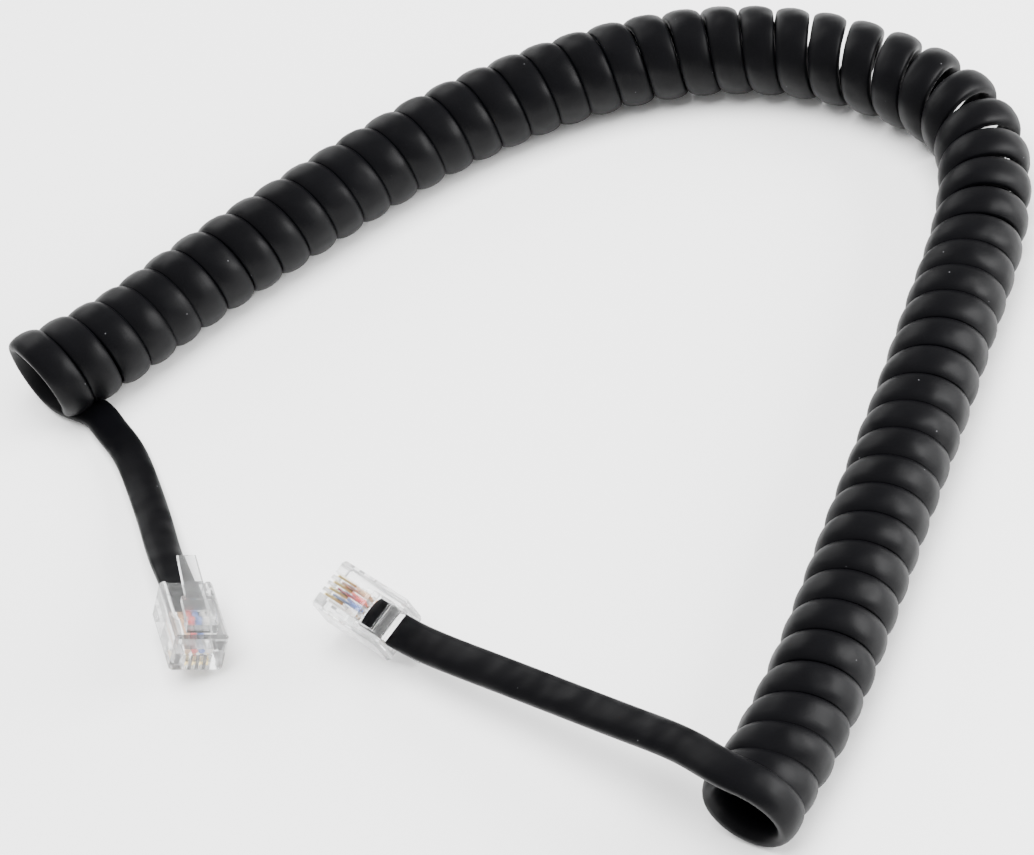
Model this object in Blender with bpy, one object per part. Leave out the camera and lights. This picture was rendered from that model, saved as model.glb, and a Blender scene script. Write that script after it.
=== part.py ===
# A curly telephone handset cord as it lies on a table: a flat four-wire cord wound into a coil that
# arches over and comes back, a short straight tail at each end, and a clear four-contact plug on each.
# Units are metres, +Z is up and the table is z = 0.

import math

import bmesh
import bpy
import numpy as np
from mathutils import Matrix, Vector

MM = 0.001

# Cord
CORD_WIDTH = 5.0 * MM
CORD_THICK = 2.45 * MM
COIL_RADIUS = 6.7 * MM
COIL_STEP = 8.0 * MM
TAIL_STEP = 4.5 * MM
TAIL_GAP = 0.5 * MM     # between a tail's end and the fat tube that stands for the coil
TAIL_A_RISE = 0.15 * MM

# Axis of the coil, from its left end to its right end, in millimetres
COIL_ROUTE = (
    (-73.3, 48.7), (-68.4, 49.7), (-63.2, 51.1), (-58.3, 53.0), (-49.1, 56.9), (-33.9, 62.0),
    (-18.6, 66.6), (-3.0, 70.1), (12.9, 71.1), (28.7, 69.2), (43.5, 63.2), (55.9, 53.3), (60.9, 47.2),
    (65.1, 40.5), (67.9, 33.0), (68.1, 24.9), (65.8, 17.2), (62.3, 10.0), (53.4, -3.3), (44.3, -16.4),
    (34.9, -29.2), (25.5, -42.2), (15.8, -55.1), (5.0, -66.9), (-1.5, -72.7),
)

# Where each tail leaves the coil's axis, then points along its middle in millimetres
TAIL_A_FOOT = (-67.3, 50.0)
TAIL_A_ROUTE = (
    (-65.1, 41.1, 1.4), (-63.6, 35.9, 1.4), (-62.5, 27.0, 1.7), (-62.0, 17.5, 2.6), (-61.7, 9.5, 3.6),
)
TAIL_B_FOOT = (3.2, -68.5)
TAIL_B_ROUTE = (
    (-2.7, -62.5, 12.2), (-8.2, -54.7, 11.2), (-15.7, -44.7, 9.4), (-23.4, -34.7, 7.9),
    (-28.8, -27.7, 6.9),
)

# Plug, with its nose at y = 0, its rear at y = -12.3 and its contacts on the +z side
PLUG_WIDTH = 7.65 * MM
PLUG_LENGTH = 12.3 * MM
PLUG_HEIGHT = 6.4 * MM
EDGE = 0.45 * MM
CONTACT_PITCH = 1.02 * MM
CONTACT_THICK = 0.35 * MM
CONTACT_SUNK = 0.6 * MM
CONTACT_ROUND = 0.4 * MM
CONTACT_CORNER = 0.3 * CONTACT_ROUND
CONTACT_FRONT = 0.5 * MM
CONTACT_BACK = 4.3 * MM
WIRE_RADIUS = 0.45 * MM
WIRE_END = 1.1 * MM
JACKET_IN = 5.3 * MM
CLEAR = 0.1 * MM
OVER = 1.0 * MM         # how far a cutter reaches past the face it cuts
MERGE = 0.4 * MM        # how far a moulded-on piece starts inside the body
MOUTH_DEEP = 1.9 * MM
WINDOW_FRONT = 7.2 * MM
WINDOW_BACK = 10.7 * MM
WINDOW_WIDTH = 4.7 * MM
BAR_FRONT = 9.2 * MM
BAR_RIDGE = 9.8 * MM
BAR_THIN = 0.35 * MM
BAR_THICK = 1.0 * MM
RAIL = 0.9 * MM
RAIL_DEEP = 0.6 * MM
RAIL_FRONT = 3.9 * MM
LATCH_WIDTH = 4.4 * MM
LATCH_FRONT = 0.8 * MM
LATCH_HINGE = 3.0 * MM
LATCH_STEP = 6.2 * MM
LATCH_LIFT = 0.35 * MM
LATCH_THICK = 1.0 * MM
LEVER_ROOT_WIDTH = 3.1 * MM
LEVER_TIP_WIDTH = 2.6 * MM
LEVER_TIP = 14.4 * MM
LEVER_DROP = 3.2 * MM   # from the latch side of the body to the outside of the lever's tip
WIRES = ("tan", "red", "blue", "white")
MIDDLE_SLOT = 1.5       # the slots are counted 0 to 3 across the plug

# Where each plug lies: the middle of its nose in millimetres, then turn, nose lift and roll in degrees
PLUG_A_AT = (-60.5, -11.4, 5.5)
PLUG_A_TURN = (181.9, 5.1, 150.5)
PLUG_B_AT = (-39.9, -11.1, 7.65)
PLUG_B_TURN = (32.8, 5.3, -12.0)
UPSIDE_DOWN = 180       # degrees: the cord enters plug A with its other flat side up


def material(name, colour, rough, metallic=0.0, alpha=1.0):
    made = bpy.data.materials.new(name)
    made.use_nodes = True
    shader = made.node_tree.nodes["Principled BSDF"]
    shader.inputs["Base Color"].default_value = (*colour, 1.0)
    shader.inputs["Roughness"].default_value = rough
    shader.inputs["Metallic"].default_value = metallic
    shader.inputs["Alpha"].default_value = alpha
    return made


def smooth_route(points, step):
    """Points at even steps on the natural cubic spline through the given points."""
    points = np.array(points, float)
    chord = np.r_[0, np.cumsum(np.linalg.norm(np.diff(points, axis=0), axis=1))]
    count = len(points)
    h = np.diff(chord)
    matrix = np.eye(count)
    right = np.zeros_like(points)
    for i in range(1, count - 1):
        matrix[i, i - 1:i + 2] = h[i - 1], 2 * (h[i - 1] + h[i]), h[i]
        right[i] = 6 * ((points[i + 1] - points[i]) / h[i] - (points[i] - points[i - 1]) / h[i - 1])
    bend = np.linalg.solve(matrix, right)
    u = np.linspace(0, chord[-1], 2000)
    k = np.clip(np.searchsorted(chord, u, side="right") - 1, 0, count - 2)
    a = ((chord[k + 1] - u) / h[k])[:, None]
    b = 1 - a
    hk = h[k][:, None]
    fine = (a * points[k] + b * points[k + 1]
            + ((a ** 3 - a) * bend[k] + (b ** 3 - b) * bend[k + 1]) * hk ** 2 / 6)
    walked = np.r_[0, np.cumsum(np.linalg.norm(np.diff(fine, axis=0), axis=1))]
    wanted = np.linspace(0, walked[-1], round(walked[-1] / step) + 1)
    return np.stack([np.interp(wanted, walked, fine[:, i]) for i in range(3)], axis=1)


def poly_curve(name, points, tilts, jacket):
    """A poly curve through the points, its section kept upright, then turned by the tilt at each point."""
    data = bpy.data.curves.new(name, "CURVE")
    data.dimensions = "3D"
    data.twist_mode = "Z_UP"
    data.use_fill_caps = True
    line = data.splines.new("POLY")
    line.points.add(len(points) - 1)
    for point, at, tilt in zip(line.points, points, tilts):
        point.co = (*at, 1.0)
        point.tilt = float(tilt)
    made = bpy.data.objects.new(name, data)
    bpy.context.scene.collection.objects.link(made)
    data.materials.append(jacket)
    return made


def coil_tube(jacket):
    """The coil as one fat tube of its outer diameter, along its axis."""
    points = smooth_route([(x * MM, y * MM, COIL_RADIUS) for x, y in COIL_ROUTE], COIL_STEP)
    made = poly_curve("cord_coil", points, np.zeros(len(points)), jacket)
    made.data.bevel_depth = COIL_RADIUS
    made.data.bevel_resolution = 4


def flat_section(helpers):
    """The flat cord's own section, a stadium, as a closed curve that the tails carry along."""
    data = bpy.data.curves.new("flat_section", "CURVE")
    data.dimensions = "2D"
    corners = []
    round_r = CORD_THICK / 2
    half = CORD_WIDTH / 2 - round_r
    for side in (1, -1):
        for i in range(7):
            angle = -math.pi / 2 + math.pi * i / 6
            corners.append((side * (half + round_r * math.cos(angle)), side * round_r * math.sin(angle)))
    line = data.splines.new("POLY")
    line.points.add(len(corners) - 1)
    for point, (x, y) in zip(line.points, corners[::-1]):
        point.co = (x, y, 0.0, 1.0)
    line.use_cyclic_u = True
    made = bpy.data.objects.new("flat_section", data)
    helpers.objects.link(made)
    return made


def tail_start(foot, toward, height):
    """Where a tail's end clears the coil tube: out from the foot on its axis, level, to the next point."""
    foot, toward = (Vector(point[:2]) * MM for point in (foot, toward))
    beside = math.sqrt(CORD_THICK * (2 * COIL_RADIUS - CORD_THICK)) + TAIL_GAP
    return (*(foot + (toward - foot).normalized() * beside), height)


def tail(name, start, route, place, roll, section, jacket):
    """A straight end of the flat cord, from beside the coil to where its jacket is cut inside its plug.

    Its flat side turns from level to the plug's own roll over the stretch between the two.
    """
    inside = [place @ Vector((0, y, 0)) for y in (
        -PLUG_LENGTH, -PLUG_LENGTH + JACKET_IN / 2, -PLUG_LENGTH + JACKET_IN - CLEAR)]
    points = smooth_route([start] + [Vector(point) * MM for point in route] + inside, TAIL_STEP)
    way = np.r_[0, np.cumsum(np.linalg.norm(np.diff(points, axis=0), axis=1))]
    along = np.clip(way / (way[-1] - JACKET_IN - TAIL_STEP), 0, 1)
    made = poly_curve(name, points, math.radians(roll) * (3 * along ** 2 - 2 * along ** 3), jacket)
    made.data.bevel_mode = "OBJECT"
    made.data.bevel_object = section


def frame_of(at, turn):
    """The matrix that puts a plug where it lies."""
    yaw, lift, roll = (math.radians(value) for value in turn)
    return (Matrix.Translation(Vector(at) * MM) @ Matrix.Rotation(yaw, 4, "Z")
            @ Matrix.Rotation(lift, 4, "X") @ Matrix.Rotation(roll, 4, "Y"))


def box(name, low, high, place, collection, edge=0.0):
    """A box between two corners, with its edges cut off if asked."""
    mesh = bpy.data.meshes.new(name)
    made = bpy.data.objects.new(name, mesh)
    shape = bmesh.new()
    bmesh.ops.create_cube(shape, size=1.0)
    for vertex in shape.verts:
        for i in range(3):
            vertex.co[i] = (low[i] + high[i]) / 2 + vertex.co[i] * (high[i] - low[i])
    if edge:
        bmesh.ops.bevel(shape, geom=shape.edges[:], offset=edge, segments=1, affect="EDGES")
    shape.to_mesh(mesh)
    shape.free()
    collection.objects.link(made)
    made.matrix_world = place
    return made


def prism(name, outline, widths, place, collection):
    """A side outline of (y, z) points, as wide at each point as its own entry in widths."""
    mesh = bpy.data.meshes.new(name)
    made = bpy.data.objects.new(name, mesh)
    shape = bmesh.new()
    left = [shape.verts.new((-w / 2, y, z)) for (y, z), w in zip(outline, widths)]
    right = [shape.verts.new((w / 2, y, z)) for (y, z), w in zip(outline, widths)]
    shape.faces.new(left)
    shape.faces.new(right[::-1])
    for i in range(len(outline)):
        j = (i + 1) % len(outline)
        shape.faces.new((left[j], left[i], right[i], right[j]))
    bmesh.ops.recalc_face_normals(shape, faces=shape.faces[:])
    shape.to_mesh(mesh)
    shape.free()
    collection.objects.link(made)
    made.matrix_world = place
    return made


def combine(target, other, operation):
    step = target.modifiers.new(other.name, "BOOLEAN")
    step.solver = "EXACT"
    step.operation = operation
    step.object = other


def latch(body, name, place, cutters):
    """The latch, moulded on near the nose: a wide root standing off the body, then a narrower lever."""
    face = -PLUG_HEIGHT / 2
    slope = (LATCH_LIFT + LATCH_THICK - LEVER_DROP) / (LEVER_TIP - LATCH_FRONT)

    def outer(y):
        return face - LATCH_LIFT - LATCH_THICK + slope * (-LATCH_FRONT - y)

    root = prism(name + "_root", (
        (-LATCH_FRONT, face + MERGE), (-LATCH_FRONT, face - LATCH_LIFT),
        (-LATCH_FRONT - EDGE, outer(-LATCH_FRONT - EDGE)),
        (-LATCH_STEP, outer(-LATCH_STEP)), (-LATCH_STEP, outer(-LATCH_STEP) + LATCH_THICK),
        (-LATCH_HINGE, outer(-LATCH_HINGE) + LATCH_THICK), (-LATCH_HINGE + EDGE, face + MERGE),
    ), (LATCH_WIDTH,) * 7, place, cutters)
    start = -LATCH_STEP + MERGE
    lever = prism(name + "_lever", (
        (start, outer(start) + CLEAR), (-LEVER_TIP + EDGE, outer(-LEVER_TIP + EDGE) + CLEAR),
        (-LEVER_TIP, outer(-LEVER_TIP) + CLEAR + EDGE), (-LEVER_TIP, outer(-LEVER_TIP) + LATCH_THICK - CLEAR),
        (start, outer(start) + LATCH_THICK - CLEAR),
    ), (LEVER_ROOT_WIDTH,) + (LEVER_TIP_WIDTH,) * 3 + (LEVER_ROOT_WIDTH,), place, cutters)
    combine(body, root, "UNION")
    combine(body, lever, "UNION")


def housing(name, place, clear, cutters):
    """The clear body with its latch, contact slots, wire slot, cord hole and strain-relief window."""
    half = PLUG_WIDTH / 2
    top = PLUG_HEIGHT / 2
    rear = -PLUG_LENGTH
    body = box(name, (-half, rear, -top), (half, 0, top), place, bpy.context.scene.collection, EDGE)
    body.data.materials.append(clear)
    # Shallow channel under the lever, which leaves a rail along each side
    channel = box(name + "_channel", (-half + RAIL, rear - OVER, -top - OVER),
                  (half - RAIL, -RAIL_FRONT, -top + RAIL_DEEP), place, cutters)
    combine(body, channel, "DIFFERENCE")
    latch(body, name, place, cutters)
    # Hole for the flat jacket, and the slot for the four wires ahead of it
    hole_x = CORD_WIDTH / 2 + CLEAR
    hole_z = CORD_THICK / 2 + CLEAR
    cut = rear + JACKET_IN
    hole = box(name + "_hole", (-hole_x, rear - OVER, -hole_z), (hole_x, cut + 3 * CLEAR, hole_z),
               place, cutters)
    combine(body, hole, "DIFFERENCE")
    slot_x = 1.5 * CONTACT_PITCH + WIRE_RADIUS + CLEAR
    slot_z = WIRE_RADIUS + CLEAR
    wires = box(name + "_wires", (-slot_x, cut - 2 * CLEAR, -slot_z), (slot_x, -WIRE_END + 2 * CLEAR, slot_z),
                place, cutters)
    combine(body, wires, "DIFFERENCE")
    wide = CONTACT_THICK / 2 + 0.8 * CLEAR
    for i in range(4):
        x = (i - 1.5) * CONTACT_PITCH
        deep = box(f"{name}_slot{i + 1}", (x - wide, -CONTACT_BACK - 2 * CLEAR, WIRE_RADIUS - CLEAR / 2),
                   (x + wide, -CONTACT_FRONT + CLEAR, top + OVER), place, cutters)
        mouth = box(f"{name}_mouth{i + 1}", (x - wide, -CONTACT_FRONT - OVER, top - MOUTH_DEEP),
                    (x + wide, OVER, top + OVER), place, cutters)
        combine(body, deep, "DIFFERENCE")
        combine(body, mouth, "DIFFERENCE")
    # Window over the jacket, with the pressed-in bar left standing from its rear wall
    floor = CORD_THICK / 2 - 3 * CLEAR
    window = prism(name + "_window", (
        (-WINDOW_FRONT, top + OVER), (-WINDOW_FRONT, floor), (-BAR_FRONT, floor),
        (-BAR_FRONT, hole_z + BAR_THIN),
        (-BAR_RIDGE, hole_z + BAR_THICK), (-WINDOW_BACK, hole_z + BAR_THIN), (-WINDOW_BACK, top + OVER),
    ), (WINDOW_WIDTH,) * 7, place, cutters)
    combine(body, window, "DIFFERENCE")


def contact(name, slot, place, gold):
    """A flat blade with a rounded top front corner, standing in its slot just over its wire."""
    top = PLUG_HEIGHT / 2 - CONTACT_SUNK
    low = WIRE_RADIUS + CLEAR
    front = -CONTACT_FRONT
    foot = -WIRE_END - 4 * CLEAR
    made = prism(name, (
        (front, top - 3 * CONTACT_ROUND), (front, top - CONTACT_ROUND),
        (front - CONTACT_CORNER, top - CONTACT_CORNER),
        (front - CONTACT_ROUND, top), (-CONTACT_BACK, top), (-CONTACT_BACK, low), (foot, low),
        (foot + CONTACT_ROUND, top - 3 * CONTACT_ROUND),
    ), (CONTACT_THICK,) * 8, place @ Matrix.Translation(((slot - MIDDLE_SLOT) * CONTACT_PITCH, 0, 0)),
        bpy.context.scene.collection)
    made.data.materials.append(gold)


def wire(name, slot, place, colour):
    """The bared end of one insulated wire, from the cut jacket to under its contact."""
    start = -PLUG_LENGTH + JACKET_IN + CLEAR
    end = -WIRE_END
    mesh = bpy.data.meshes.new(name)
    made = bpy.data.objects.new(name, mesh)
    shape = bmesh.new()
    bmesh.ops.create_cone(shape, cap_ends=True, segments=20, radius1=WIRE_RADIUS, radius2=WIRE_RADIUS,
                          depth=end - start)
    shape.to_mesh(mesh)
    shape.free()
    bpy.context.scene.collection.objects.link(made)
    made.data.materials.append(colour)
    middle = Matrix.Translation(((slot - MIDDLE_SLOT) * CONTACT_PITCH, (start + end) / 2, 0))
    made.matrix_world = place @ middle @ Matrix.Rotation(math.pi / 2, 4, "X")


def plug(side, place, mirrored, cutters, slots):
    """One plug: housing, four contacts and four wire ends. The wires come out in the other order at one end."""
    housing(f"plug_{side}_housing", place, slots["clear"], cutters)
    for i in range(4):
        contact(f"contact_{side}{i + 1}", i, place, slots["gold"])
        colour = WIRES[-1 - i if mirrored else i]
        wire(f"conductor_{side}_{colour}", i, place, slots[colour])


for old in list(bpy.data.objects):
    bpy.data.objects.remove(old, do_unlink=True)
cutters = bpy.data.collections.new("cutters")
bpy.context.scene.collection.children.link(cutters)
cutters.hide_render = True
slots = {
    "jacket": material("jacket", (0.012, 0.012, 0.014), 0.45),
    "clear": material("clear", (0.9, 0.93, 0.94), 0.05, alpha=0.3),
    "gold": material("gold", (0.85, 0.62, 0.2), 0.25, 1.0),
    "tan": material("tan", (0.6, 0.42, 0.2), 0.4),
    "red": material("red", (0.6, 0.04, 0.04), 0.4),
    "blue": material("blue", (0.08, 0.14, 0.4), 0.4),
    "white": material("white", (0.85, 0.85, 0.82), 0.4),
}
coil_tube(slots["jacket"])
section = flat_section(cutters)
place_a = frame_of(PLUG_A_AT, PLUG_A_TURN)
place_b = frame_of(PLUG_B_AT, PLUG_B_TURN)
plug("a", place_a, False, cutters, slots)
plug("b", place_b, True, cutters, slots)
tail("cord_tail_a", tail_start(TAIL_A_FOOT, TAIL_A_ROUTE[0], CORD_THICK / 2 + TAIL_A_RISE), TAIL_A_ROUTE,
     place_a, PLUG_A_TURN[2] - UPSIDE_DOWN, section, slots["jacket"])
tail("cord_tail_b", tail_start(TAIL_B_FOOT, TAIL_B_ROUTE[0], 2 * COIL_RADIUS - CORD_THICK / 2), TAIL_B_ROUTE,
     place_b, PLUG_B_TURN[2], section, slots["jacket"])
for helper in cutters.objects:
    helper.hide_render = True
    helper.display_type = "WIRE"
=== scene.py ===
import math

import bmesh
import bpy
import numpy as np
from mathutils import Matrix, Vector


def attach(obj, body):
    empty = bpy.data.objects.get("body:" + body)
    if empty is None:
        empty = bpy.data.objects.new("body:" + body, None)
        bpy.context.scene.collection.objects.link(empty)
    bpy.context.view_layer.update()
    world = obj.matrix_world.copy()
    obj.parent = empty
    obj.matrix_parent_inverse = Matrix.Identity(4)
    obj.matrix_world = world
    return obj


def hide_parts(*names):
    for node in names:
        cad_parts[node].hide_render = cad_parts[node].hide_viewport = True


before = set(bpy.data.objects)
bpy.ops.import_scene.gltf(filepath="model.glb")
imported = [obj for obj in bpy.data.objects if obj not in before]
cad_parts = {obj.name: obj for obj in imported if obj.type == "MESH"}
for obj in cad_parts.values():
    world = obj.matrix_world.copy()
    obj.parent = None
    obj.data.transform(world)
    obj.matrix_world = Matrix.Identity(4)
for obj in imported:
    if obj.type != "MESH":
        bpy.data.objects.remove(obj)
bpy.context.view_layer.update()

# Camera: it looks down on the table from the front through a long lens, tipped sideways as the photograph
# is. Distances are in metres and angles in degrees.
LOOK_DOWN = 46.45
TIPPED = -20.9
LENS_PX = 3586.0
PHOTO_WIDTH_PX = 1034
eye = Vector((-0.0086, -0.3410, 0.3719))
SENSOR_WIDTH_MM = 36.0
lens_data = bpy.data.cameras.new("camera")
lens_data.sensor_width = SENSOR_WIDTH_MM
lens_data.lens = LENS_PX / PHOTO_WIDTH_PX * SENSOR_WIDTH_MM
lens_data.clip_start = 0.01
camera = bpy.data.objects.new("camera", lens_data)
camera.matrix_world = (Matrix.Translation(eye) @ Matrix.Rotation(math.radians(90 - LOOK_DOWN), 4, "X")
                       @ Matrix.Rotation(math.radians(TIPPED), 4, "Z"))
bpy.context.scene.collection.objects.link(camera)
bpy.context.scene.camera = camera

# Cord: one flat black PVC jacket over four wires, wound hot on a rod into a right-handed coil that springs
# closed, with a straight tail at each end. It is one mesh, from inside one plug to inside the other. Lengths
# are in metres; routes and marks are in millimetres.
MM = 0.001
CORD_WIDTH = 5.0 * MM
CORD_THICK = 2.45 * MM
COIL_RADIUS = 6.7 * MM
FIRST_TURN_SHIFT = 3.7 * MM
FIRST_TURN_SHIFT_OVER = 0.5   # turns
FIRST_TURNS_WIDER = 0.65 * MM
FIRST_TURNS_HIGHER = 1.0 * MM
FIRST_TURNS = 3.8
RINGS_PER_TURN = 40
AXIS_SAMPLES = 6000
MARK_SAMPLES = 4000
COIL_ROUTE = (
    (-73.3, 48.7), (-68.4, 49.7), (-63.2, 51.1), (-58.3, 53.0), (-49.1, 56.9), (-33.9, 62.0),
    (-18.6, 66.6), (-3.0, 70.1), (12.9, 71.1), (28.7, 69.2), (43.5, 63.2), (55.9, 53.3), (60.9, 47.2),
    (65.1, 40.5), (67.9, 33.0), (68.1, 24.9), (65.8, 17.2), (62.3, 10.0), (53.4, -3.3), (44.3, -16.4),
    (34.9, -29.2), (25.5, -42.2), (15.8, -55.1), (5.0, -66.9), (-1.5, -72.7),
)
TURN_MARKS = (   # millimetres along the coil's axis, turns wound there
    (-0.1, 0), (9.7, 2), (24.0, 5), (39, 8), (53.9, 11), (68.9, 14), (84.2, 17), (99.5, 20), (116.2, 23),
    (127.2, 25), (138.8, 27), (148.2, 28.5), (158.1, 30), (168.1, 31.5), (176.6, 33), (187.8, 35),
    (202.3, 38), (217.5, 41), (232, 44), (246.7, 47), (261.5, 50), (276.4, 53), (287.6, 55.5),
)
LEAN_MARKS = (   # turns wound, millimetres that the near side and the top of a turn lean forward there
    (0, 0.9, 0.4), (2, 0.25, 0.8), (5, 0.15, 0.5), (8, 0.55, 0.5), (16, 0.55, 0.5), (19, 0.9, 0.85),
    (28, 1.0, 0.95), (30, 0.1, 0.05), (44, 0, 0), (50, -0.2, -0.2), (53, 0.7, 0.05), (55.5, 0.7, 0.05),
)
LAST_TURNS_ASIDE = 0.25 * MM
LAST_TURNS = 3.5
END_CLIMB = 0.75   # turns
END_LIFT = 1.2 * MM
END_BACK = 1.75 * MM
END_TILT = 4
TAIL_A_ROUTE = (
    (-66.4, 44.9, 1.3), (-65.1, 41.1, 1.3), (-63.6, 35.9, 1.4), (-62.5, 27.0, 1.7), (-62.0, 17.5, 2.6),
    (-61.7, 9.5, 3.6),
)
TAIL_B_ROUTE = (
    (-2.7, -62.5, 12.6), (-8.2, -54.7, 11.2), (-15.7, -44.7, 9.4), (-23.4, -34.7, 7.9), (-28.8, -27.7, 6.9),
)
TAIL_SAMPLES = 2000
TAIL_A_RINGS = 60
TAIL_B_RINGS = 70
PLUG_LENGTH = 12.3 * MM
JACKET_IN = 5.3 * MM
CUT_END_CLEAR = 0.1 * MM
PLUG_A_AT = (-60.5, -11.4, 5.5)
PLUG_A_TURN = (181.9, 5.1, 150.5)
PLUG_B_AT = (-39.9, -11.1, 7.65)
PLUG_B_TURN = (32.8, 5.3, -12.0)


def plug_place(at, turn):
    """The matrix from a plug's own frame (nose at y = 0, contacts on +z) to where it lies."""
    yaw, lift, roll = (math.radians(value) for value in turn)
    return np.array(Matrix.Translation(Vector(at) * MM) @ Matrix.Rotation(yaw, 4, "Z")
                    @ Matrix.Rotation(lift, 4, "X") @ Matrix.Rotation(roll, 4, "Y"))


def unit(rows):
    """Each row scaled to length one."""
    return rows / np.linalg.norm(rows, axis=-1, keepdims=True)


def spline_through(points, samples):
    """Natural cubic spline through the points, by distance along their chords, at that many even values."""
    points = np.asarray(points, float)
    chord = np.r_[0, np.cumsum(np.linalg.norm(np.diff(points, axis=0), axis=1))]
    h = np.diff(chord)
    count = len(points)
    matrix = np.eye(count)
    right = np.zeros_like(points)
    inner = np.arange(1, count - 1)
    matrix[inner, inner - 1] = h[:-1]
    matrix[inner, inner] = 2 * (h[:-1] + h[1:])
    matrix[inner, inner + 1] = h[1:]
    slope = np.diff(points, axis=0) / h[:, None]
    right[1:-1] = 6 * np.diff(slope, axis=0)
    bend = np.linalg.solve(matrix, right)
    u = np.linspace(0, chord[-1], samples)
    k = np.clip(np.searchsorted(chord, u, side="right") - 1, 0, count - 2)
    a = ((chord[k + 1] - u) / h[k])[:, None]
    b = 1 - a
    hk = h[k][:, None]
    return (a * points[k] + b * points[k + 1]
            + ((a ** 3 - a) * bend[k] + (b ** 3 - b) * bend[k + 1]) * hk ** 2 / 6)


def walked(points):
    """Distance walked along the points up to each of them."""
    return np.r_[0, np.cumsum(np.linalg.norm(np.diff(points, axis=0), axis=1))]


def evenly(points, count):
    """That many points at even distances along a line of points."""
    way = walked(points)
    wanted = np.linspace(0, way[-1], count)
    return np.stack([np.interp(wanted, way, points[:, i]) for i in range(points.shape[1])], axis=1)


def coil_helix():
    """The wound cord's middle line and its outward direction.

    The coil's axis lies at the coil's own radius above the table. The number of turns wound grows along it
    through the turn marks, closer where it is straight and wider round the bend, where the turns fan open.
    The point is the axis plus r times (cos angle sideways + sin angle upwards), which winds right-handed
    from the bottom at the left end to the top at the right end. It is moved along the axis by the lean
    marks: back by the near-side lean times cos angle, and forward by the top lean times sin angle. The
    first half turn sets in further along, the first turns have sprung a little wider and higher, and the
    last ones lie a little to one side. The end climbs on its neighbour, out by the end lift and back by the
    end shift, and tips by the end tilt.
    """
    axis = spline_through([(x, y, COIL_RADIUS / MM) for x, y in COIL_ROUTE], AXIS_SAMPLES) * MM
    axis = evenly(axis, AXIS_SAMPLES)
    way = walked(axis)
    along = unit(np.gradient(axis, way, axis=0))
    marks = spline_through(TURN_MARKS, MARK_SAMPLES)
    total = TURN_MARKS[-1][1]
    turn = np.linspace(0, total, int(total * RINGS_PER_TURN) + 1)
    at = np.interp(turn, marks[:, 1], marks[:, 0] * MM)
    climb = np.clip((turn - total) / END_CLIMB + 1, 0, 1) ** 3
    at += FIRST_TURN_SHIFT * np.clip(1 - turn / FIRST_TURN_SHIFT_OVER, 0, 1) ** 1.5 - END_BACK * climb
    angle = 2 * math.pi * turn - math.pi / 2
    lean = np.array(LEAN_MARKS)
    at -= np.interp(turn, lean[:, 0], lean[:, 1] * MM) * np.cos(angle)
    at += np.interp(turn, lean[:, 0], lean[:, 2] * MM) * np.sin(angle)
    centre = np.stack([np.interp(at, way, axis[:, i]) for i in range(3)], axis=1)
    forward = unit(np.stack([np.interp(at, way, along[:, i]) for i in range(3)], axis=1))
    up = np.array([0.0, 0.0, 1.0])
    side = np.cross(up, forward)
    out = np.cos(angle)[:, None] * side + np.sin(angle)[:, None] * up
    sprung = np.clip(1 - turn / FIRST_TURNS, 0, 1)
    wider = FIRST_TURNS_WIDER * sprung * (1 + np.cos(angle))
    radius = COIL_RADIUS - CORD_THICK / 2 + wider + END_LIFT * climb
    higher = FIRST_TURNS_HIGHER * sprung
    aside = LAST_TURNS_ASIDE * np.clip(1 - (total - turn) / LAST_TURNS, 0, 1)
    middle = centre + radius[:, None] * out + higher[:, None] * up - aside[:, None] * side
    tilt = np.radians(END_TILT) * climb[:, None]
    return middle, np.cos(tilt) * out + np.sin(tilt) * forward


helix, helix_out = coil_helix()
place_a = plug_place(PLUG_A_AT, PLUG_A_TURN)
place_b = plug_place(PLUG_B_AT, PLUG_B_TURN)


def tail_line(place, route, joins, count):
    """The middle line of a tail, from the cut end of the jacket inside its plug to the coil."""
    inside = [place[:3, :3] @ np.array([0, y, 0]) + place[:3, 3]
              for y in (-PLUG_LENGTH + JACKET_IN - CUT_END_CLEAR, -PLUG_LENGTH + JACKET_IN / 2, -PLUG_LENGTH)]
    points = np.vstack([inside, np.array(route[::-1]) * MM, joins])
    dense = spline_through(points, TAIL_SAMPLES)
    last = np.argmin(np.linalg.norm(dense - joins[0], axis=1))
    return evenly(dense[:last + 1], count)


def tail_out(place, coil_out, count):
    """The outward direction along a tail: it turns from the plug's to the coil's by 3 t^2 - 2 t^3."""
    t = np.linspace(0, 1, count)
    turned = (3 * t ** 2 - 2 * t ** 3)[:, None]
    return place[:3, 2] * (1 - turned) + coil_out * turned


tail_a = tail_line(place_a, TAIL_A_ROUTE, helix[:3], TAIL_A_RINGS)
tail_b = tail_line(place_b, TAIL_B_ROUTE, helix[::-1][:3], TAIL_B_RINGS)
path = np.vstack([tail_a[:-1], helix, tail_b[::-1][1:]])
out_a = tail_out(place_a, helix_out[0], TAIL_A_RINGS)
out_b = tail_out(place_b, helix_out[-1], TAIL_B_RINGS)
outward = np.vstack([out_a[:-1], helix_out, out_b[::-1][1:]])


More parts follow.
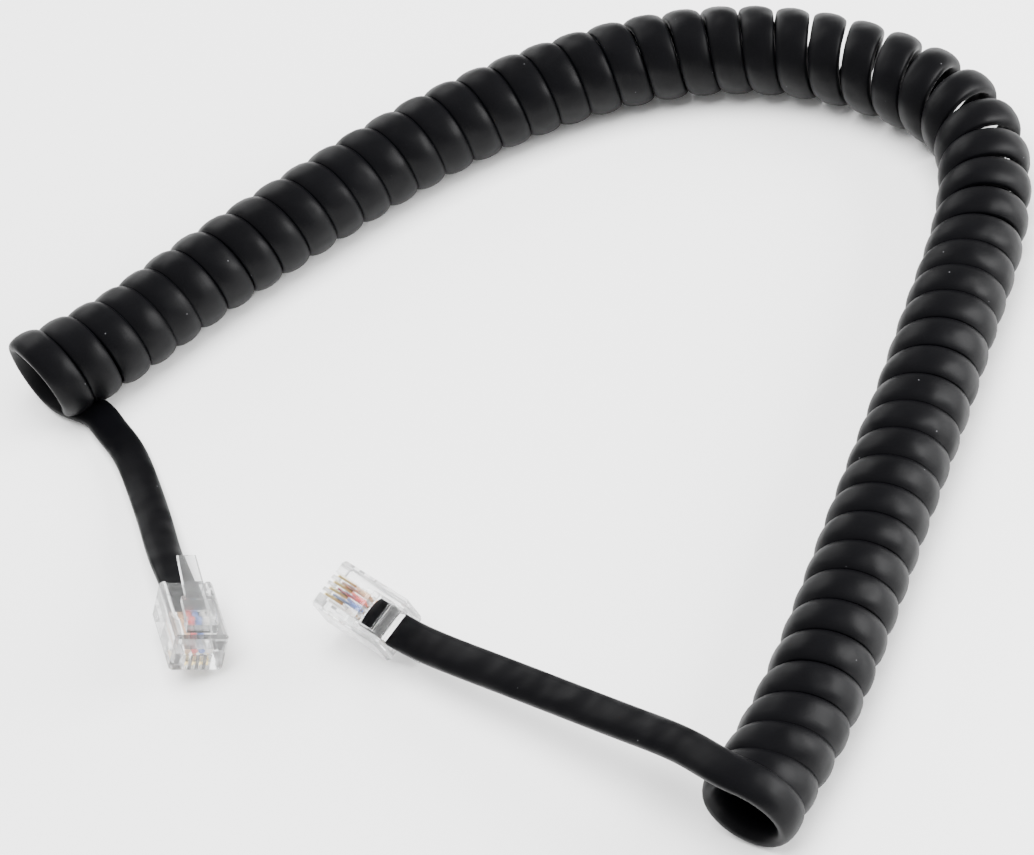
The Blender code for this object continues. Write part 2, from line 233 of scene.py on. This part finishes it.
def flat_cord(name, path, outward):
    """A flat section carried along the path.

    The section is a rounded bar, |x / half width| ^ n + |y / half thickness| ^ n = 1, with y outwards, whose
    faces are crowned: y is multiplied by 1 - crown (x / half width) ^ 2. Its width lies square to the path
    and to the outward direction. Both ends are closed with a fan.
    """
    sides = 32
    power = 3.5
    crown = 0.36
    t = np.linspace(0, 2 * math.pi, sides, endpoint=False)
    sx = np.sign(np.cos(t)) * np.abs(np.cos(t)) ** (2 / power) * CORD_WIDTH / 2
    sy = np.sign(np.sin(t)) * np.abs(np.sin(t)) ** (2 / power) * CORD_THICK / 2
    sy *= 1 - crown * (sx / (CORD_WIDTH / 2)) ** 2
    along = unit(np.gradient(path, axis=0))
    out = unit(outward - (outward * along).sum(1, keepdims=True) * along)
    wide = np.cross(along, out)
    points = (path[:, None] + wide[:, None] * sx[None, :, None] + out[:, None] * sy[None, :, None])
    rings = len(path)
    vertices = np.vstack([points.reshape(-1, 3), path[0], path[-1]])
    i, j = np.meshgrid(np.arange(rings - 1), np.arange(sides), indexing="ij")
    k = (j + 1) % sides
    quads = np.stack([i * sides + j, (i + 1) * sides + j, (i + 1) * sides + k, i * sides + k], -1)
    quads = quads.reshape(-1, 4)
    r = np.arange(sides)
    q = (r + 1) % sides
    end = (rings - 1) * sides
    first = np.stack([r, q, np.full(sides, rings * sides)], 1)
    last = np.stack([end + q, end + r, np.full(sides, rings * sides + 1)], 1)
    mesh = bpy.data.meshes.new(name)
    mesh.from_pydata(vertices.tolist(), [], quads.tolist() + first.tolist() + last.tolist())
    layer = mesh.uv_layers.new(name="cord")
    way = walked(path)
    u = np.r_[way, 0, way[-1]]
    ring_of = np.r_[np.repeat(np.arange(rings), sides), rings, rings + 1]
    loops = np.empty(len(mesh.loops), int)
    mesh.loops.foreach_get("vertex_index", loops)
    v = np.r_[np.tile(np.arange(sides) / sides, rings), 0.5, 0.5]
    uv = np.stack([u[ring_of[loops]], v[loops]], 1)
    quad_loops = len(quads) * 4
    seam = uv[:quad_loops].reshape(-1, 4, 2)
    wraps = (seam[:, :, 1].max(1) - seam[:, :, 1].min(1)) > 0.5
    seam[wraps, :, 1] = np.where(seam[wraps, :, 1] < 0.5, seam[wraps, :, 1] + 1, seam[wraps, :, 1])
    uv[:quad_loops] = seam.reshape(-1, 2)
    layer.data.foreach_set("uv", uv.ravel())
    mesh.shade_smooth()
    mesh.update()
    made = bpy.data.objects.new(name, mesh)
    bpy.context.scene.collection.objects.link(made)
    return made


class Sock:
    """A node socket that can be added to and multiplied by a number or another socket."""

    def __init__(self, tree, socket):
        self.tree = tree
        self.socket = socket

    def maths(self, operation, other):
        return self.tree.node("ShaderNodeMath", {"operation": operation}, {0: self, 1: other})

    def __add__(self, other):
        return self.maths("ADD", other)

    __radd__ = __add__

    def __mul__(self, other):
        return self.maths("MULTIPLY", other)


class Finish:
    """A material made by expressions: node() adds any node, and shader() sets the Principled BSDF."""

    def __init__(self, name):
        self.material = bpy.data.materials.new(name)
        self.material.use_nodes = True
        self.nodes = self.material.node_tree.nodes
        self.links = self.material.node_tree.links
        self.principled = self.nodes["Principled BSDF"]

    def node(self, kind, settings=None, inputs=None, output=0):
        made = self.nodes.new(kind)
        for key, value in (settings or {}).items():
            setattr(made, key, value)
        for key, value in (inputs or {}).items():
            self.feed(made.inputs[key], value)
        return Sock(self, made.outputs[output])

    def feed(self, target, value):
        if isinstance(value, Sock):
            self.links.new(value.socket, target)
        else:
            target.default_value = value

    def shader(self, **values):
        for key, value in values.items():
            self.feed(self.principled.inputs[key.replace("_", " ")], value)
        return self.material

    def mix_colour(self, factor, a, b):
        """Factor 0 gives a, and 1 gives b."""
        made = self.nodes.new("ShaderNodeMix")
        made.data_type = "RGBA"
        self.feed(made.inputs[0], factor)
        self.feed(made.inputs[6], a)
        self.feed(made.inputs[7], b)
        return Sock(self, made.outputs[2])


def pvc_finish():
    """Matte black PVC: cloudy wear, a soft unevenness, drawn lines, a fine grain and a few dust specks."""
    f = Finish("matte_black_pvc")
    place = f.node("ShaderNodeTexCoord", output=3)
    grain = f.node("ShaderNodeTexNoise", inputs={"Vector": place, "Scale": 2600.0, "Detail": 3.0})
    cloud = f.node("ShaderNodeTexNoise", inputs={"Vector": place, "Scale": 90.0, "Detail": 3.0})
    uv = f.node("ShaderNodeUVMap", {"uv_map": "cord"})
    drawn_at = f.node("ShaderNodeMapping", inputs={"Vector": uv, "Scale": (40.0, 60.0, 1.0)})
    drawn = f.node("ShaderNodeTexNoise", inputs={"Vector": drawn_at, "Scale": 1.0, "Detail": 2.0})
    colour = f.mix_colour(cloud, (0.0009, 0.0009, 0.0012, 1), (0.0018, 0.0018, 0.0024, 1))
    nearest = f.node("ShaderNodeTexVoronoi", inputs={"Vector": place, "Scale": 300.0})
    dust = f.node("ShaderNodeMapRange", inputs={0: nearest, 1: 0.02, 2: 0.036, 3: 1.0, 4: 0.0})
    colour = f.mix_colour(dust, colour, (0.08, 0.08, 0.085, 1))
    lumps = f.node("ShaderNodeTexNoise", inputs={"Vector": place, "Scale": 190.0, "Detail": 1.0})
    uneven = f.node("ShaderNodeBump", inputs={"Height": lumps, "Strength": 0.6, "Distance": 0.001})
    height = grain * 0.5 + drawn * 0.6
    bump = f.node("ShaderNodeBump", inputs={"Height": height, "Strength": 0.18, "Distance": 0.00006,
                                            "Normal": uneven})
    return f.shader(Base_Color=colour, Roughness=0.40 + cloud * 0.12, Specular_IOR_Level=0.1, Normal=bump)


cord = flat_cord("curly_cord", path, outward)
cord.data.materials.append(pvc_finish())
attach(cord, "root")
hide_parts("cord_coil", "cord_tail_a", "cord_tail_b")

# Table: a plain white sheet of matt card with a faint grain, and nothing on it but the cord.
TABLE_HALF = 3.0
table_mesh = bpy.data.meshes.new("table")
table_mesh.from_pydata([(x * TABLE_HALF, y * TABLE_HALF, 0) for x, y in ((-1, -1), (1, -1), (1, 1), (-1, 1))],
                       [], [(0, 1, 2, 3)])
table = bpy.data.objects.new("table", table_mesh)
bpy.context.scene.collection.objects.link(table)
f = Finish("white_table")
place = f.node("ShaderNodeTexCoord", output=3)
fibres = f.node("ShaderNodeTexNoise", inputs={"Vector": place, "Scale": 1400.0, "Detail": 3.0})
clouds = f.node("ShaderNodeTexNoise", inputs={"Vector": place, "Scale": 9.0, "Detail": 2.0})
white = f.mix_colour(fibres * 0.5 + clouds * 0.5, (0.935, 0.935, 0.935, 1), (0.965, 0.965, 0.965, 1))
bump = f.node("ShaderNodeBump", inputs={"Height": fibres, "Strength": 0.1, "Distance": 0.00002})
table.data.materials.append(f.shader(Base_Color=white, Roughness=0.86 + fibres * 0.08, Normal=bump))

# Plug housings: one clear polycarbonate moulding each, with the latch on one side and, on the other, four
# slots for the contacts and the window where a bar is pressed down on the jacket. Each keeps its CAD shape;
# its welded copy gets the small edge radius of the mould, which catches the light along every edge.
SIDES = ("a", "b")
EDGE_RADIUS = 0.09 * MM
WELD_WITHIN = 0.002 * MM
FLAT_WITHIN = 1       # degrees
ROUND_BEYOND = 28     # degrees


def clear_finish():
    """Clear plastic, partly seen straight through: faint mould flow waves, haze in patches and fine rubs."""
    f = Finish("clear_polycarbonate")
    place = f.node("ShaderNodeTexCoord", output=3)
    haze = f.node("ShaderNodeTexNoise", inputs={"Vector": place, "Scale": 420.0, "Detail": 2.0})
    waves = f.node("ShaderNodeTexNoise", inputs={"Vector": place, "Scale": 260.0, "Detail": 1.0})
    rubs_at = f.node("ShaderNodeMapping", inputs={"Vector": place, "Scale": (900.0, 5200.0, 2600.0)})
    rubs = f.node("ShaderNodeTexNoise", inputs={"Vector": rubs_at, "Scale": 1.0, "Detail": 2.0})
    bump = f.node("ShaderNodeBump", inputs={"Height": waves + rubs * 0.06, "Strength": 0.05,
                                            "Distance": 0.00003})
    tint = f.mix_colour(haze, (0.99, 0.995, 0.995, 1), (0.96, 0.97, 0.97, 1))
    return f.shader(Base_Color=tint, Roughness=0.01 + haze * 0.03, IOR=1.5, Transmission_Weight=0.975,
                    Alpha=0.92, Normal=bump)


clear = clear_finish()


def moulded(node, name):
    """A welded copy of a CAD node in clear plastic, its sharp edges rounded, which stands for the node."""
    shape = bmesh.new()
    shape.from_mesh(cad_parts[node].data)
    bmesh.ops.remove_doubles(shape, verts=shape.verts, dist=WELD_WITHIN)
    bmesh.ops.dissolve_limit(shape, angle_limit=math.radians(FLAT_WITHIN), verts=shape.verts,
                             edges=shape.edges)
    mesh = bpy.data.meshes.new(name)
    shape.to_mesh(mesh)
    shape.free()
    made = bpy.data.objects.new(name, mesh)
    bpy.context.scene.collection.objects.link(made)
    round_off = made.modifiers.new("round_off", "BEVEL")
    round_off.width = EDGE_RADIUS
    round_off.segments = 2
    round_off.limit_method = "ANGLE"
    round_off.angle_limit = math.radians(ROUND_BEYOND)
    made.data.materials.append(clear)
    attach(made, "root")
    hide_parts(node)
    return made


housings = [moulded(f"plug_{side}_housing", f"clear_plug_{side}") for side in SIDES]

# Contacts: gold-plated phosphor bronze blades, pressed down through the slots into the wires. Their gold
# turns to a painted copper brown towards the crimped rear: painted shade where the plastic top covers them.
CONTACTS = 4
# Distances behind the nose over which the painted shade on the contacts darkens the gold to brown.
SHADE_FROM = 2.0 * MM
SHADE_TO = 4.0 * MM
for side, place in (("a", place_a), ("b", place_b)):
    f = Finish(f"gold_plate_{side}")
    spot = f.node("ShaderNodeTexCoord", output=3)
    backwards = Vector(-place[:3, 1])
    nose = Vector(place[:3, 3])
    along = f.node("ShaderNodeVectorMath", {"operation": "DOT_PRODUCT"},
                   {0: f.node("ShaderNodeVectorMath", {"operation": "SUBTRACT"}, {0: spot, 1: nose}),
                    1: backwards}, output=1)
    # Painted shade: the gold darkens to brown between these distances behind the nose, where the plastic top
    # shades the blades.
    rear_shade = f.node("ShaderNodeMapRange", inputs={0: along, 1: SHADE_FROM, 2: SHADE_TO, 3: 0.0, 4: 1.0})
    scuff = f.node("ShaderNodeTexNoise", inputs={"Vector": spot, "Scale": 3500.0, "Detail": 2.0})
    tone = f.mix_colour(rear_shade * 0.75 + scuff * 0.25, (1.0, 0.84, 0.40, 1), (0.72, 0.38, 0.20, 1))
    bump = f.node("ShaderNodeBump", inputs={"Height": scuff, "Strength": 0.2, "Distance": 0.00003})
    gold = f.shader(Base_Color=tone, Roughness=0.22 + scuff * 0.2, Metallic=1.0, Normal=bump)
    for i in range(1, CONTACTS + 1):
        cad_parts[f"contact_{side}{i}"].material_slots[0].material = gold

# Conductors: four insulated wires side by side, bared from the jacket and pushed to the nose. Their thin
# insulation is a little uneven in colour and slightly glossy.
COLOURS = {"tan": (0.52, 0.30, 0.16, 1), "red": (0.62, 0.03, 0.035, 1), "blue": (0.06, 0.13, 0.42, 1),
           "white": (0.82, 0.72, 0.68, 1)}
for wire, colour in COLOURS.items():
    f = Finish(f"{wire}_insulation")
    spot = f.node("ShaderNodeTexCoord", output=3)
    cloud = f.node("ShaderNodeTexNoise", inputs={"Vector": spot, "Scale": 1500.0, "Detail": 3.0})
    paler = tuple(min(1.0, value * 1.35 + 0.03) for value in colour[:3]) + (1,)
    tone = f.mix_colour(cloud, colour, paler)
    bump = f.node("ShaderNodeBump", inputs={"Height": cloud, "Strength": 0.3, "Distance": 0.00004})
    finish = f.shader(Base_Color=tone, Roughness=0.28 + cloud * 0.2, Normal=bump)
    for side in SIDES:
        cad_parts[f"conductor_{side}_{wire}"].material_slots[0].material = finish

# Plugs on the cord: each end's housing, contacts and bared wires, gathered in one list.
fitted = housings + [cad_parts[f"contact_{side}{i}"] for side in SIDES for i in range(1, CONTACTS + 1)]
fitted += [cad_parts[f"conductor_{side}_{wire}"] for side in SIDES for wire in COLOURS]

# Light: a soft box low at the right, a weaker one behind at the left, a wide soft light overhead that shows
# in no gloss, and a bright white room. Each soft box aims at the middle of the table.
TABLE_MIDDLE = Vector((0, 0, 0))


def soft_box(name, at, size, power):
    data = bpy.data.lights.new(name, "AREA")
    data.size = size
    data.energy = power
    made = bpy.data.objects.new(name, data)
    made.location = at
    made.rotation_euler = (TABLE_MIDDLE - Vector(at)).to_track_quat("-Z", "Y").to_euler()
    bpy.context.scene.collection.objects.link(made)
    return made


soft_box("right_box", (0.62, -0.17, 0.27), 0.42, 11.5)
soft_box("back_box", (-0.22, 0.72, 0.34), 0.5, 3.2)
overhead = soft_box("overhead", (0, 0, 1.4), 1.2, 66)
overhead.visible_glossy = False
world = bpy.data.worlds.new("room")
world.use_nodes = True
world.node_tree.nodes["Background"].inputs["Color"].default_value = (1, 1, 1, 1)
world.node_tree.nodes["Background"].inputs["Strength"].default_value = 0.72
bpy.context.scene.world = world
